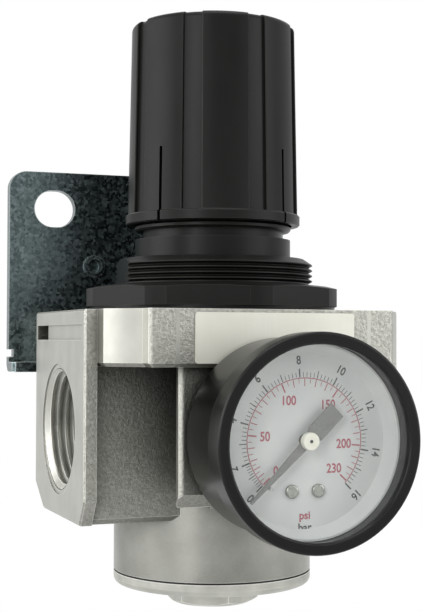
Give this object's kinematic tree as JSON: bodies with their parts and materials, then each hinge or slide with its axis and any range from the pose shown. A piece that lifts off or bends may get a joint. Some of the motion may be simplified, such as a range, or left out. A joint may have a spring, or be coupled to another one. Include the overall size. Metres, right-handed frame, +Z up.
{
  "type": "air pressure regulator",
  "caption": "Air pressure regulator: die-cast body with threaded side ports, black bonnet and lift-to-turn knob, round gauge in front, plated wall bracket behind.",
  "frame": {"origin": "where the axis of the two ports crosses the vertical axis of the knob, bonnet and bottom cap", "axes": "+Z up towards the knob, +X out of the outlet port, -Y out through the gauge face, +Y towards the wall behind the bracket"},
  "size_m": [0.0947, 0.1222, 0.1646],
  "materials": {
    "die_cast_aluminium": "shot-blasted die casting, turned barrel",
    "black_nylon": "moulded glass-filled nylon",
    "zinc_plated_steel": "bright zinc plate on sheet steel",
    "steel": "machined steel",
    "brass": "machined brass",
    "nitrile_rubber": "moulded",
    "black_enamel": "gloss black enamel on steel",
    "clear_window": "clear polycarbonate",
    "dial_enamel": "matt white enamel",
    "pointer_black": "black enamel",
    "hub_cream": "moulded cap",
    "label_film": "bare satin foil plate"
  },
  "bodies": {
    "housing": {"body": "die_cast_aluminium", "label_plate": "label_film", "bonnet": "black_nylon", "thrust_washer": "steel", "main_spring": "steel", "diaphragm": "nitrile_rubber", "valve_seat": "brass", "valve_spring": "steel", "stem_seal": "nitrile_rubber", "guide_seal": "nitrile_rubber", "cap_seal": "nitrile_rubber", "bottom_cap": "die_cast_aluminium", "gauge_socket": "brass", "gauge_washer": "nitrile_rubber", "gauge_case": "black_enamel", "gauge_bezel": "black_enamel", "gauge_window": "clear_window", "gauge_dial": "dial_enamel", "dial_screws": "steel", "pointer_stop": "steel", "gauge_movement": "brass", "bourdon_tube": "brass", "rear_port_plug": "steel", "bracket": "zinc_plated_steel", "bracket_screws": "steel"},
    "spindle": {"spindle": "steel", "spindle_clip": "steel"},
    "knob": {"knob": "black_nylon"},
    "spring_nut": {"spring_nut": "steel"},
    "diaphragm_plates": {"diaphragm_seat_plate": "die_cast_aluminium", "diaphragm_lower_plate": "brass"},
    "poppet": {"poppet": "brass", "poppet_seal": "nitrile_rubber"},
    "sector": {"sector_gear": "brass"},
    "pointer": {"pointer": "pointer_black", "pointer_hub": "hub_cream", "pointer_arbor": "steel"}
  },
  "joints": [
    {"name": "spindle_turn", "type": "hinge", "parent": "housing", "child": "spindle", "pos_m": [0, 0, 0.0925], "axis": [0, 0, 1], "range_deg": [-1800, 0]},
    {"name": "knob_lock", "type": "slide", "parent": "spindle", "child": "knob", "axis": [0, 0, 1], "range_m": [-0.004, 0]},
    {"name": "nut_travel", "type": "slide", "parent": "housing", "child": "spring_nut", "axis": [0, 0, 1], "range_m": [-0.01, 0], "deforming": ["main_spring"]},
    {"name": "diaphragm_travel", "type": "slide", "parent": "housing", "child": "diaphragm_plates", "axis": [0, 0, 1], "range_m": [-0.002, 0], "stiffness_N_per_m": 1500, "deforming": ["diaphragm"]},
    {"name": "poppet_travel", "type": "slide", "parent": "housing", "child": "poppet", "axis": [0, 0, 1], "range_m": [-0.002, 0], "deforming": ["valve_spring"]},
    {"name": "sector_turn", "type": "hinge", "parent": "housing", "child": "sector", "pos_m": [0.0085, -0.0591, -0.0082], "axis": [0, 1, 0], "range_deg": [-30, 0]},
    {"name": "pointer_turn", "type": "hinge", "parent": "housing", "child": "pointer", "pos_m": [0, -0.0654, 0.0003], "axis": [0, 1, 0], "range_deg": [0, 270]}
  ],
  "couplings": [
    {"joint": "nut_travel", "follows": "spindle_turn", "m_per_rad": 0.0003183},
    {"joint": "poppet_travel", "follows": "diaphragm_travel", "ratio": 1},
    {"joint": "pointer_turn", "follows": "sector_turn", "ratio": -9}
  ]
}
